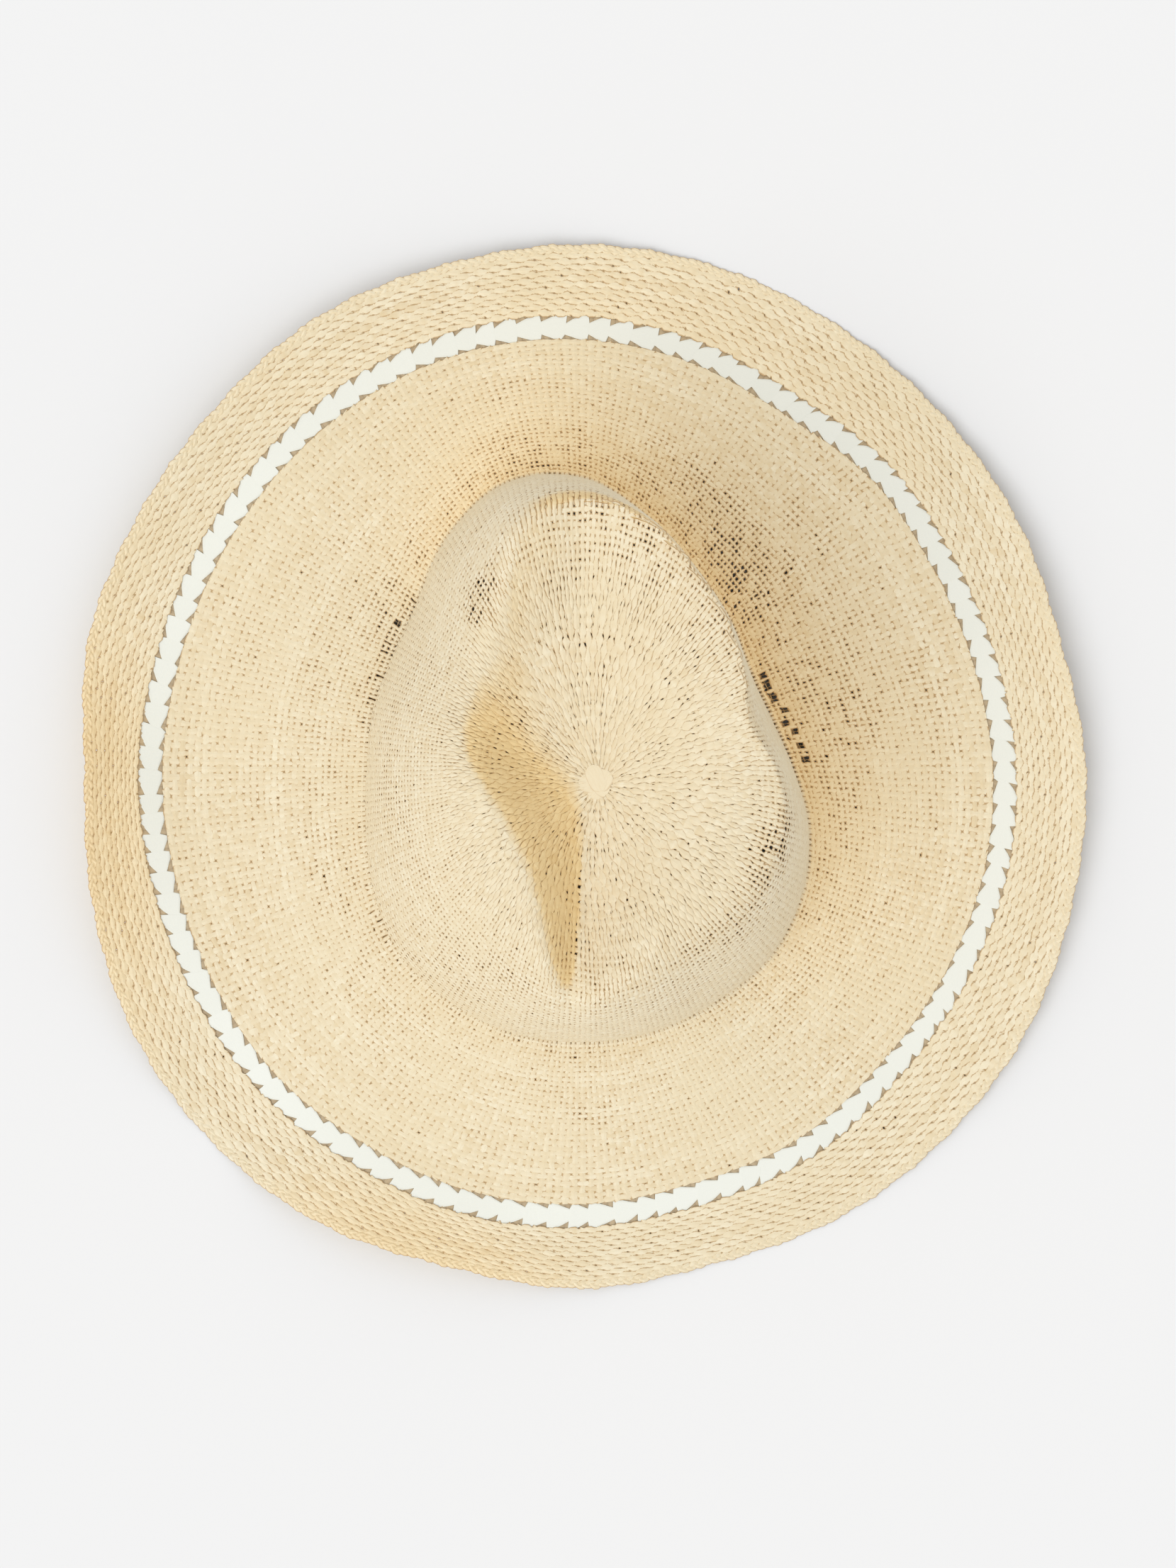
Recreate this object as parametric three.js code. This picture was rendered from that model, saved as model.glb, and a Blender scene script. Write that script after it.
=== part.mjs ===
// A wide-brim hat of woven paper straw, at rest on its own brim.
// Millimetres, +Z up. The pinched front of the crown points to -Y, the wearer's left is +X,
// and the origin is on the surface under the middle of the brim.
//
// The outer face of the whole hat is one height above the surface for every place in plan:
// a dented crown top, cut off by a leaning wall, over a sloping brim with a wavy edge.
// Each piece is a shell hung from a stretch of that face.
import * as THREE from "three";

// Walls and gaps
const STRAW_THICKNESS = 1.4;
const EDGE_PLAIT_THICKNESS = 2.6;
const EDGE_PLAIT_WIDTH = 5;
const TRIM_THICKNESS = 1.2;
const PIECE_GAP = 0.3;

// Crown
const CROWN_BASE_HEIGHT = 22;
const WALL_RUN_HEIGHT = 85;
const WALL_BOW_POWER = 0.62;
const WALL_BOW_START = 0.05;
const SHOULDER_SHARE = 0.62;
const BASE_FILLET_BLEND = 9;
const TOP_CAMBER = 4;
const TOP_HALF_WIDTH = 60;
const CREASE_ROUNDING = 0.15;
const LEFT_HOLLOW_POWER = 1.8;
const WOVEN_TIP = { x: -5.7, y: 5.9 };
const TIP_DRIFT_RADIUS = 45;

// Brim
const BRIM_SLOPE_AT_BASE = -0.32;

// White zigzag trim let into the brim
const TRIM_UNITS = 126;
const TRIM_TIP_REACH = 4.4;
const TRIM_NOTCH_REACH = { outward: 1.7, inward: 2.3 };
const TRIM_TOOTH_TURN = 0.72;

// Where the axis of the sections stands in the frame
const AXIS = { x: 0.72, y: 0.9 };

// Mesh fineness
const CROWN_COLUMNS = 64;
const CROWN_TOP_ROWS = 14;
const CROWN_SIDE_ROWS = 9;
const BRIM_COLUMNS = 72;
const INNER_BRIM_ROWS = 5;
const OUTER_BRIM_ROWS = 3;
const PLAIT_ROWS = 2;
const MERIDIAN_STEPS = 240;
const BEND_WORTH = 22;
const COLUMN_SPREAD = 0.067;
const NORMAL_STEP = 0.2;

// Sections round the hat, every 15 degrees from the wearer's left towards the back.
// crownRadius and wallRun: radius of the crown's foot, and how far its wall leans in over
// WALL_RUN_HEIGHT. shoulder: how far apart wall and top are rounded into each other.
// The trim and the edge each have a radius and the height of their outer face.
const SECTION_COLUMNS = [
  "azimuth", "crownRadius", "wallRun", "shoulder", "trimRadius", "trimHeight", "edgeRadius",
  "edgeHeight",
];
const SECTION_ROWS = [
  [0, 78.3, 34, 58, 157.2, 3.5, 179.4, 19],
  [15, 81.4, 38, 58, 157.7, 4, 183.2, 17],
  [30, 87.5, 43, 58, 159.5, 4.5, 188.9, 8],
  [45, 94.1, 46, 58, 161.9, 4.5, 191.7, 1.4],
  [60, 97, 41, 58, 162, 5, 189.9, 11],
  [75, 98.9, 29, 52, 163.1, 5, 186.4, 12],
  [90, 98.8, 20, 46, 162.5, 5, 189, 4],
  [105, 98.4, 22, 42, 160.2, 5, 186.7, 1.4],
  [120, 97, 26, 38, 160, 5, 188.4, 1.4],
  [135, 96, 24, 34, 156.7, 5.5, 188.3, 3],
  [150, 91.5, 18, 28, 155.3, 7, 187.2, 7],
  [165, 84.8, 12, 22, 154.6, 8, 184, 10],
  [180, 76.3, 9, 18, 153, 9, 182.1, 12],
  [195, 70.8, 10, 18, 151, 9, 178.9, 13],
  [210, 70, 5, 16, 150.8, 8, 181.6, 10],
  [225, 75.4, 4, 16, 152.9, 7, 183.8, 5],
  [240, 82.5, 4, 18, 152.5, 6, 186.6, 1.4],
  [255, 93.5, 5, 20, 157.1, 6, 189.7, 1.4],
  [270, 105.2, 11, 30, 160.2, 8, 190.9, 5],
  [285, 107, 17, 44, 161.3, 9.5, 189.8, 9],
  [300, 97.5, 30, 56, 160.2, 11, 189.5, 14],
  [315, 85.1, 33, 58, 158.1, 12, 185.8, 18],
  [330, 80.1, 34, 58, 156.7, 8, 184.7, 16],
  [345, 79, 34, 58, 156.1, 4.5, 184.5, 15],
];

// Stations along the crown top, every 24 mm from the front to the back.
// ridge: height of the undented top. creaseX, depth: place and depth of the centre crease.
// left, right: how wide its two slopes are.
// leftFold, rightFold: 1 where a slope falls to a folded line, 0 where it ends in a hollow.
const STATION_COLUMNS = ["y", "ridge", "creaseX", "depth", "left", "right", "leftFold", "rightFold"];
const STATION_ROWS = [
  [-104, 112, 4, 2, 22, 26, 1, 1],
  [-80, 113, 1, 12, 38, 42, 0.8, 1],
  [-56, 113, 0, 20, 44, 52, 0.4, 1],
  [-32, 112, 1, 26, 48, 60, 0.1, 0.6],
  [-8, 110, 4, 27, 43, 70, 0.1, 0.4],
  [16, 108, 0, 25, 33, 58, 0.6, 0.5],
  [40, 105, 0, 21, 22, 42, 0.9, 0.5],
  [64, 101, 2, 14, 14, 28, 1, 0.6],
  [88, 97, 5, 5, 10, 14, 1, 1],
];

const FULL_TURN = 2 * Math.PI;

// The smooth curve through four neighbouring values, between the middle two.
function throughValues(before, from, to, after, part) {
  const rise = (to - before) / 2;
  const fall = (after - from) / 2;
  const square = part * part;
  const cube = square * part;
  return (
    from * (2 * cube - 3 * square + 1) +
    rise * (cube - 2 * square + part) +
    to * (3 * square - 2 * cube) +
    fall * (cube - square)
  );
}

function column(rows, columns, name) {
  const place = columns.indexOf(name);
  return rows.map((row) => row[place]);
}

// A value of the section table at any azimuth in radians.
function roundTable(name) {
  const values = column(SECTION_ROWS, SECTION_COLUMNS, name);
  const count = values.length;
  return (azimuth) => {
    const turns = azimuth / FULL_TURN;
    const place = (turns - Math.floor(turns)) * count;
    const first = Math.floor(place);
    const at = (index) => values[(index + count) % count];
    return throughValues(at(first - 1), at(first), at(first + 1), at(first + 2), place - first);
  };
}

// A value of the station table at any y, held beyond its two ends.
function alongTable(name) {
  const values = column(STATION_ROWS, STATION_COLUMNS, name);
  const places = column(STATION_ROWS, STATION_COLUMNS, "y");
  const last = values.length - 1;
  const step = places[1] - places[0];
  return (y) => {
    const place = Math.min(Math.max((y - places[0]) / step, 0), last);
    const first = Math.min(Math.floor(place), last - 1);
    const at = (index) => values[Math.min(Math.max(index, 0), last)];
    return throughValues(at(first - 1), at(first), at(first + 1), at(first + 2), place - first);
  };
}

const section = {};
for (const name of SECTION_COLUMNS.slice(1)) {
  section[name] = roundTable(name);
}
const station = {};
for (const name of STATION_COLUMNS.slice(1)) {
  station[name] = alongTable(name);
}

// The lower of two heights, rounded over where they are within blend of each other.
function smoothLower(a, b, blend) {
  const share = Math.max(blend - Math.abs(a - b), 0) / blend;
  return Math.min(a, b) - (share ** 3 * blend) / 6;
}

function smoothUpper(a, b, blend) {
  return -smoothLower(-a, -b, blend);
}

// How much of the crease's depth is left at a place, 1 in its line and 0 at its rims.
function creaseShare(x, y) {
  const offset = x - station.creaseX(y);
  const onLeft = offset > 0;
  const width = onLeft ? station.left(y) : station.right(y);
  const fold = onLeft ? station.leftFold(y) : station.rightFold(y);
  const raw = Math.min(Math.abs(offset) / width, 1);
  const hollowPower = onLeft ? LEFT_HOLLOW_POWER : 1;
  const hollow = (1 + Math.cos(Math.PI * raw ** hollowPower)) / 2;
  const softened = Math.sqrt(raw * raw + CREASE_ROUNDING ** 2) - CREASE_ROUNDING * (1 - raw);
  const folded = 1 - Math.sin((Math.PI / 2) * Math.min(softened, 1));
  return fold * folded + (1 - fold) * hollow;
}

function crownTopHeight(x, y) {
  const camber = TOP_CAMBER * (x / TOP_HALF_WIDTH) ** 2;
  return station.ridge(y) - camber - station.depth(y) * creaseShare(x, y);
}

// The wall bows out: it rises steeply at the foot and leans over more and more.
// Gives the share of WALL_RUN_HEIGHT reached at a share of wallRun.
function bowedRise(share) {
  const atFoot = WALL_BOW_START ** WALL_BOW_POWER;
  const span = (1 + WALL_BOW_START) ** WALL_BOW_POWER - atFoot;
  if (share < 0) {
    return (share * WALL_BOW_POWER * atFoot) / (WALL_BOW_START * span);
  }
  return ((share + WALL_BOW_START) ** WALL_BOW_POWER - atFoot) / span;
}

function crownWallHeight(radius, azimuth) {
  const share = (section.crownRadius(azimuth) - radius) / section.wallRun(azimuth);
  return CROWN_BASE_HEIGHT + WALL_RUN_HEIGHT * bowedRise(share);
}

// A curve from one height and slope to another over a run, and straight on past its ends.
function easeHeight(from, slopeFrom, to, slopeTo, run, part) {
  if (part < 0) {
    return from + slopeFrom * run * part;
  }
  if (part > 1) {
    return to + slopeTo * run * (part - 1);
  }
  const square = part * part;
  const cube = square * part;
  return (
    from * (2 * cube - 3 * square + 1) +
    slopeFrom * run * (cube - 2 * square + part) +
    to * (3 * square - 2 * cube) +
    slopeTo * run * (cube - square)
  );
}

function brimHeight(radius, azimuth) {
  const foot = section.crownRadius(azimuth);
  const trim = section.trimRadius(azimuth);
  const edge = section.edgeRadius(azimuth);
  const trimHeight = section.trimHeight(azimuth);
  const edgeHeight = section.edgeHeight(azimuth);
  const innerFall = (trimHeight - CROWN_BASE_HEIGHT) / (trim - foot);
  const outerFall = (edgeHeight - trimHeight) / (edge - trim);
  const slopeAtTrim = (innerFall + outerFall) / 2;
  if (radius < trim) {
    const part = (radius - foot) / (trim - foot);
    return easeHeight(
      CROWN_BASE_HEIGHT, BRIM_SLOPE_AT_BASE, trimHeight, slopeAtTrim, trim - foot, part,
    );
  }
  const slopeAtEdge = 2 * outerFall - slopeAtTrim;
  const part = (radius - trim) / (edge - trim);
  return easeHeight(trimHeight, slopeAtTrim, edgeHeight, slopeAtEdge, edge - trim, part);
}

// Height of the hat's outer face at a place measured from the axis.
function hatHeight(x, y) {
  const radius = Math.hypot(x, y);
  const azimuth = Math.atan2(y, x);
  const top = crownTopHeight(x, y);
  const wall = crownWallHeight(radius, azimuth);
  const crown = smoothLower(top, wall, section.shoulder(azimuth));
  return smoothUpper(crown, brimHeight(radius, azimuth), BASE_FILLET_BLEND);
}

// Where the meridian at an azimuth passes at a radius. Near the middle it drifts to the tip.
function planPoint(radius, azimuth) {
  const drift = Math.max(1 - radius / TIP_DRIFT_RADIUS, 0) ** 2;
  return new THREE.Vector2(
    radius * Math.cos(azimuth) + WOVEN_TIP.x * drift,
    radius * Math.sin(azimuth) + WOVEN_TIP.y * drift,
  );
}

function facePoint(plan) {
  return new THREE.Vector3(plan.x, plan.y, hatHeight(plan.x, plan.y));
}

function faceNormal(plan) {
  const alongX = hatHeight(plan.x + NORMAL_STEP, plan.y) - hatHeight(plan.x - NORMAL_STEP, plan.y);
  const alongY = hatHeight(plan.x, plan.y + NORMAL_STEP) - hatHeight(plan.x, plan.y - NORMAL_STEP);
  return new THREE.Vector3(-alongX, -alongY, 2 * NORMAL_STEP).normalize();
}

// A point lifted off the outer face, and never below the surface that the hat rests on.
function liftedPoint(plan, lift) {
  const point = facePoint(plan).addScaledVector(faceNormal(plan), lift);
  point.z = Math.max(point.z, 0);
  point.x += AXIS.x;
  point.y += AXIS.y;
  return point;
}

// Radii along a meridian that part its length evenly, closer where it bends.
// A bend of one radian counts as BEND_WORTH millimetres of length.
function evenRadii(azimuth, from, to, rows) {
  const lengths = [0];
  let last = facePoint(planPoint(from, azimuth));
  let heading = null;
  for (let step = 1; step <= MERIDIAN_STEPS; step += 1) {
    const radius = from + ((to - from) * step) / MERIDIAN_STEPS;
    const next = facePoint(planPoint(radius, azimuth));
    const stride = next.clone().sub(last);
    const bend = heading ? heading.angleTo(stride) : 0;
    lengths.push(lengths[step - 1] + stride.length() + bend * BEND_WORTH);
    last = next;
    heading = stride;
  }
  const radii = [];
  let step = 0;
  for (let row = 0; row <= rows; row += 1) {
    const wanted = (lengths[MERIDIAN_STEPS] * row) / rows;
    while (step < MERIDIAN_STEPS - 1 && lengths[step + 1] < wanted) {
      step += 1;
    }
    const part = (wanted - lengths[step]) / (lengths[step + 1] - lengths[step]);
    radii.push(from + ((to - from) * (step + part)) / MERIDIAN_STEPS);
  }
  return radii;
}

// Azimuths spread so that columns are evenly spaced round the oval foot of the crown.
function columnAzimuths(count) {
  return Array.from({ length: count }, (unused, index) => {
    const turn = (index / count) * FULL_TURN;
    return turn + COLUMN_SPREAD * Math.sin(2 * turn);
  });
}

// A closed body through rings of points. With poles, its first and last ring close on them;
// without, the last ring joins the first.
function loftRings(rings, poles) {
  const count = rings[0].length;
  const points = rings.flat();
  const faces = [];
  const joins = poles ? rings.length - 1 : rings.length;
  for (let ring = 0; ring < joins; ring += 1) {
    const near = ring * count;
    const far = ((ring + 1) % rings.length) * count;
    for (let index = 0; index < count; index += 1) {
      const next = (index + 1) % count;
      faces.push(near + index, far + index, far + next);
      faces.push(near + index, far + next, near + next);
    }
  }
  if (poles) {
    const firstPole = points.push(poles[0]) - 1;
    const lastPole = points.push(poles[1]) - 1;
    const lastRing = (rings.length - 1) * count;
    for (let index = 0; index < count; index += 1) {
      const next = (index + 1) % count;
      faces.push(firstPole, index, next);
      faces.push(lastPole, lastRing + next, lastRing + index);
    }
  }
  const geometry = new THREE.BufferGeometry().setFromPoints(points);
  geometry.setIndex(faces);
  geometry.computeVertexNormals();
  return geometry;
}

// Rings of a shell between two radii: its outer face outwards, then its inner face back.
// liftAt gives the lifts of both faces for a row.
function shellRings(columns, rows, radiusFrom, radiusTo, liftAt) {
  const meridians = columnAzimuths(columns).map((azimuth) => {
    const radii = evenRadii(azimuth, radiusFrom(azimuth), radiusTo(azimuth), rows);
    return radii.map((radius) => planPoint(radius, azimuth));
  });
  const ringAt = (row, lift) => meridians.map((plans) => liftedPoint(plans[row], lift));
  const outer = [];
  const inner = [];
  for (let row = 0; row <= rows; row += 1) {
    const lifts = liftAt(row);
    outer.push(ringAt(row, lifts.outer));
    inner.unshift(ringAt(row, lifts.inner));
  }
  return { outer, inner };
}

const plainLifts = () => ({ outer: 0, inner: -STRAW_THICKNESS });

// Radius of the line along the shoulder where the crown's side ends and its top begins.
// offset moves it outwards along the face.
function shoulderRadius(azimuth, offset) {
  const radius = section.crownRadius(azimuth) - SHOULDER_SHARE * section.wallRun(azimuth);
  return radius + offset * faceNormal(planPoint(radius, azimuth)).z;
}

function crownTopGeometry() {
  const tip = () => 0;
  const shoulder = (azimuth) => shoulderRadius(azimuth, -PIECE_GAP / 2);
  const { outer, inner } = shellRings(CROWN_COLUMNS, CROWN_TOP_ROWS, tip, shoulder, plainLifts);
  const rings = [...outer.slice(1), ...inner.slice(0, -1)];
  const poles = [outer[0][0], inner[inner.length - 1][0]];
  return loftRings(rings, poles);
}

function crownSideGeometry() {
  const shoulder = (azimuth) => shoulderRadius(azimuth, PIECE_GAP / 2);
  const foot = (azimuth) => section.crownRadius(azimuth) - PIECE_GAP / 2;
  const { outer, inner } = shellRings(CROWN_COLUMNS, CROWN_SIDE_ROWS, shoulder, foot, plainLifts);
  return loftRings([...outer, ...inner]);
}

function innerBrimGeometry() {
  const from = (azimuth) => section.crownRadius(azimuth) + PIECE_GAP / 2;
  const to = (azimuth) => section.trimRadius(azimuth) - TRIM_TIP_REACH - PIECE_GAP;
  const { outer, inner } = shellRings(BRIM_COLUMNS, INNER_BRIM_ROWS, from, to, plainLifts);
  return loftRings([...outer, ...inner]);
}

// The outer brim: a plain band, and a last row as thick as the plait along its edge.
function outerBrimGeometry() {
  const from = (azimuth) => section.trimRadius(azimuth) + TRIM_TIP_REACH + PIECE_GAP;
  const plait = (azimuth) => section.edgeRadius(azimuth) - EDGE_PLAIT_WIDTH;
  const edge = (azimuth) => section.edgeRadius(azimuth);
  const swell = (EDGE_PLAIT_THICKNESS - STRAW_THICKNESS) / 2;
  const plaitLifts = () => ({ outer: swell, inner: -STRAW_THICKNESS - swell });
  const band = shellRings(BRIM_COLUMNS, OUTER_BRIM_ROWS, from, plait, plainLifts);
  const rim = shellRings(BRIM_COLUMNS, PLAIT_ROWS, plait, edge, (row) => (
    row === PLAIT_ROWS ? plainLifts() : plaitLifts()
  ));
  return loftRings([
    ...band.outer, ...rim.outer.slice(1), ...rim.inner.slice(0, -1), ...band.inner,
  ]);
}

// The trim: a flat plait whose two edges step out to a tooth and drop back at every unit.
function trimGeometry() {
  const steps = [];
  for (let unit = 0; unit < TRIM_UNITS; unit += 1) {
    steps.push({ turn: unit / TRIM_UNITS, tooth: false });
    steps.push({ turn: (unit + TRIM_TOOTH_TURN) / TRIM_UNITS, tooth: true });
  }
  const edgeRing = (side, reach, lift) => steps.map(({ turn, tooth }) => {
    const azimuth = -turn * FULL_TURN;
    const radius = section.trimRadius(azimuth) + side * (tooth ? TRIM_TIP_REACH : reach);
    return liftedPoint(planPoint(radius, azimuth), lift);
  }).reverse();
  const { outward, inward } = TRIM_NOTCH_REACH;
  return loftRings([
    edgeRing(-1, inward, 0),
    edgeRing(1, outward, 0),
    edgeRing(1, outward, -TRIM_THICKNESS),
    edgeRing(-1, inward, -TRIM_THICKNESS),
  ]);
}

function material(colour, roughness) {
  return new THREE.MeshStandardMaterial({ color: colour, roughness, metalness: 0 });
}

function piece(name, geometry, finish) {
  const mesh = new THREE.Mesh(geometry, finish);
  mesh.name = name;
  return mesh;
}

const group = new THREE.Group();
group.add(
  piece("crown_top", crownTopGeometry(), material(0xf0e2be, 0.8)),
  piece("crown_side", crownSideGeometry(), material(0xf0e2be, 0.8)),
  piece("inner_brim", innerBrimGeometry(), material(0xeedeba, 0.8)),
  piece("zigzag_trim", trimGeometry(), material(0xf0f1e8, 0.6)),
  piece("outer_brim", outerBrimGeometry(), material(0xebd8ac, 0.8)),
);

export default group;
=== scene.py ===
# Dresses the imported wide-brim hat in woven paper straw. Its solids are replaced by strands
# that cross over and under each other on the same face that the solids have.
# Shapes are worked out in millimetres about the hat's axis, then put down in metres.
import math
from collections import namedtuple

import bpy
import numpy as np
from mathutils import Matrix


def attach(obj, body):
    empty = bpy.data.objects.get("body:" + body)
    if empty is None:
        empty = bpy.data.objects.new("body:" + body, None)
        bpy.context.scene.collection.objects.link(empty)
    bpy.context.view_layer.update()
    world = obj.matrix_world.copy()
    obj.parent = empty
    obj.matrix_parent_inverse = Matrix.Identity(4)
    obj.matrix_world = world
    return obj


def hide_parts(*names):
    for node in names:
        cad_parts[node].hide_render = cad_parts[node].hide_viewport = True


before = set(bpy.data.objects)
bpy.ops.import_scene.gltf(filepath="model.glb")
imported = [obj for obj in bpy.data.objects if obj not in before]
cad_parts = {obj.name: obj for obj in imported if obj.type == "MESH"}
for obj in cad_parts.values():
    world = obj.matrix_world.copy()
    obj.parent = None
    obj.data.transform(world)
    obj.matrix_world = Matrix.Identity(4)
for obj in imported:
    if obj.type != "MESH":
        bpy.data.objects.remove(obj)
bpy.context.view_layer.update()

MM = 0.001
FULL_TURN = 2 * math.pi
TINY = 1e-9
RANDOM_SEED = 7

# Walls and joins. The middle of the cloth lies MID_LIFT from the outer face.
STRAW_THICKNESS = 1.4
MID_LIFT = -STRAW_THICKNESS / 2

# Crown
CROWN_NODES = ("crown_top", "crown_side")
CROWN_BASE_HEIGHT = 22
WALL_RUN_HEIGHT = 85
WALL_BOW_POWER = 0.62
WALL_BOW_START = 0.05
BASE_FILLET_BLEND = 9
TOP_CAMBER = 4
TOP_HALF_WIDTH = 60
CREASE_ROUNDING = 0.15
LEFT_HOLLOW_POWER = 1.8
WOVEN_TIP = (-5.7, 5.9)
TIP_DRIFT_RADIUS = 45

# Brim
BRIM_SLOPE_AT_BASE = -0.32

# Where the axis of the sections stands in the frame, and the step that slopes are measured over
AXIS = (0.72, 0.9)
NORMAL_STEP = 0.2

# Sections round the hat, every 15 degrees from the wearer's left towards the back.
# crown_radius and wall_run: radius of the crown's foot, and how far its wall leans in over
# WALL_RUN_HEIGHT. shoulder: how far apart wall and top are rounded into each other.
# The trim and the edge each have a radius and the height of their outer face.
SECTION_COLUMNS = (
    "azimuth", "crown_radius", "wall_run", "shoulder",
    "trim_radius", "trim_height", "edge_radius", "edge_height",
)
SECTION_ROWS = (
    (0, 78.3, 34, 58, 157.2, 3.5, 179.4, 19),
    (15, 81.4, 38, 58, 157.7, 4, 183.2, 17),
    (30, 87.5, 43, 58, 159.5, 4.5, 188.9, 8),
    (45, 94.1, 46, 58, 161.9, 4.5, 191.7, 1.4),
    (60, 97, 41, 58, 162, 5, 189.9, 11),
    (75, 98.9, 29, 52, 163.1, 5, 186.4, 12),
    (90, 98.8, 20, 46, 162.5, 5, 189, 4),
    (105, 98.4, 22, 42, 160.2, 5, 186.7, 1.4),
    (120, 97, 26, 38, 160, 5, 188.4, 1.4),
    (135, 96, 24, 34, 156.7, 5.5, 188.3, 3),
    (150, 91.5, 18, 28, 155.3, 7, 187.2, 7),
    (165, 84.8, 12, 22, 154.6, 8, 184, 10),
    (180, 76.3, 9, 18, 153, 9, 182.1, 12),
    (195, 70.8, 10, 18, 151, 9, 178.9, 13),
    (210, 70, 5, 16, 150.8, 8, 181.6, 10),
    (225, 75.4, 4, 16, 152.9, 7, 183.8, 5),
    (240, 82.5, 4, 18, 152.5, 6, 186.6, 1.4),
    (255, 93.5, 5, 20, 157.1, 6, 189.7, 1.4),
    (270, 105.2, 11, 30, 160.2, 8, 190.9, 5),
    (285, 107, 17, 44, 161.3, 9.5, 189.8, 9),
    (300, 97.5, 30, 56, 160.2, 11, 189.5, 14),
    (315, 85.1, 33, 58, 158.1, 12, 185.8, 18),
    (330, 80.1, 34, 58, 156.7, 8, 184.7, 16),
    (345, 79, 34, 58, 156.1, 4.5, 184.5, 15),
)

# Stations along the crown top, every 24 mm from the front to the back.
# ridge: height of the undented top. crease_x, depth: place and depth of the centre crease.
# left, right: how wide its two slopes are.
# left_fold, right_fold: 1 where a slope falls to a folded line, 0 where it ends in a hollow.
STATION_COLUMNS = ("y", "ridge", "crease_x", "depth", "left", "right", "left_fold", "right_fold")
STATION_ROWS = (
    (-104, 112, 4, 2, 22, 26, 1, 1),
    (-80, 113, 1, 12, 38, 42, 0.8, 1),
    (-56, 113, 0, 20, 44, 52, 0.4, 1),
    (-32, 112, 1, 26, 48, 60, 0.1, 0.6),
    (-8, 110, 4, 27, 43, 70, 0.1, 0.4),
    (16, 108, 0, 25, 33, 58, 0.6, 0.5),
    (40, 105, 0, 21, 22, 42, 0.9, 0.5),
    (64, 101, 2, 14, 14, 28, 1, 0.6),
    (88, 97, 5, 5, 10, 14, 1, 1),
)

# Weave of the hood, which is the crown with the inner brim: warps run out from the tip and
# wefts run round. Below each radius in WARP_DROPS every second warp has come to its end, eased
# over DROP_ROWS half rows: those whose number is an odd multiple of the grade for that radius.
# It ends where warps are WARP_END of its grade apart, the others at TIP_RADIUS.
CROWN_WARPS = 256
CROWN_WEFTS = 52
INNER_BRIM_WARPS = 320
INNER_BRIM_WEFTS = 30
OUTER_WARPS = 384
OUTER_WEFTS = 11
WARP_DROPS = (46, 23, 11)
WARP_GRADES = (1, 2, 4)
DROP_ROWS = 9
WARP_END = 1.8
TIP_RADIUS = 1.5
MERIDIAN_STEPS = 600

# How rows and columns are spaced: how much further apart rows are on the crown's top, how much
# of their rise counts on its wall, how close they start on the brim, how far columns are drawn
# towards the sides, and how much of the edge plait's width the outer weave leaves free
TOP_ROW_STRETCH = 0.35
STEEP_ROW_SHARE = 0.6
BRIM_ROW_START = 0.88
SPREAD_AT_FOOT = 0.067
SPREAD_AT_TRIM = -0.02
OUTER_WEAVE_MARGIN = 0.8

# Along the way from the crown's foot to its tip, where the wall's weave turns into the top's
WALL_TO_TOP = (0.44, 0.64)

# How a strand lies where it passes over a strand, between two, and under one: its width
# against the pitch, and the height of its middle over the middle of the cloth
Strand = namedtuple("Strand", "over between under lift_over lift_between lift_under")
WALL_WARP = Strand(1.08, 1.03, 0.9, 0.08, 0.0, -0.08)
WALL_WEFT = Strand(1.1, 1.04, 0.9, 0.08, 0.0, -0.08)
TOP_WARP = Strand(1.65, 1.1, 0.7, 0.14, 0.04, -0.08)
TOP_WEFT = Strand(0.8, 0.8, 0.8, -0.08, -0.12, -0.16)
BRIM_WARP = Strand(1.08, 1.13, 0.98, 0.08, 0.0, -0.08)
BRIM_WEFT = Strand(1.12, 1.14, 0.98, 0.1, 0.0, -0.08)
OUTER_WARP = Strand(1.05, 1.05, 1.05, -0.06, -0.1, -0.14)
OUTER_WEFT = Strand(1.6, 1.28, 0.75, 0.13, 0.05, -0.06)

# The outer brim: how far its wefts slant across their row, in pitches, and how pale it is
OUTER_TWIST = 0.16
OUTER_WARP_TONE = 0.3
OUTER_WEFT_TONE = 0.7

# A strand's section: corners round it, in half widths and half thicknesses
RIDGE = ((-1, -1), (0, 1), (1, -1))
FLAT = ((-1, -1), (-0.85, 1), (0.85, 1), (1, -1))
HALF_STRAND = 0.12

# How strands differ by chance: their width in waves and from place to place, how far they
# wander aside in pitches, how places rise and sink, and their tone from place to place.
# RAGGED_TOP: how far crossings slip along the crown top's warps, in pitches.
WIDTH_WAVES = 0.08
WIDTH_CHANCE = 0.1
WANDER = 0.1
LIFT_CHANCE = 0.015
TONE_CHANCE = 0.8
RAGGED_TOP = 0.2

# Whether a strand closes in a ring, how many waves its width, its way and its tone have, how
# strong those of the tone are, and how much strands differ from each other in tone. Each wave
# is a sum of octaves, stretched by chance and divided by WAVE_HEIGHT.
Variety = namedtuple("Variety", "closed width_turns way_turns tone_turns tone_waves own_tone")
WARP_VARIETY = Variety(False, 9, 9, 5, 0.35, 0.25)
WEFT_VARIETY = Variety(True, 40, 35, 12, 0.5, 0.6)
WAVE_OCTAVES = (1, 2, 3)
WAVE_STRETCH = (0.7, 1.3)
WAVE_HEIGHT = 1.5

# Small holes between strands: how much narrower the strands beside one can be, in tight and in
# open weave, the power that makes small ones commoner, and the share of it at crossings
TIGHT_HOLE = 0.12
OPEN_HOLE = 0.46
WIDEST_OPENNESS = 2
HOLE_POWER = 1.8
CROSSING_HOLE = 0.3

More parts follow.
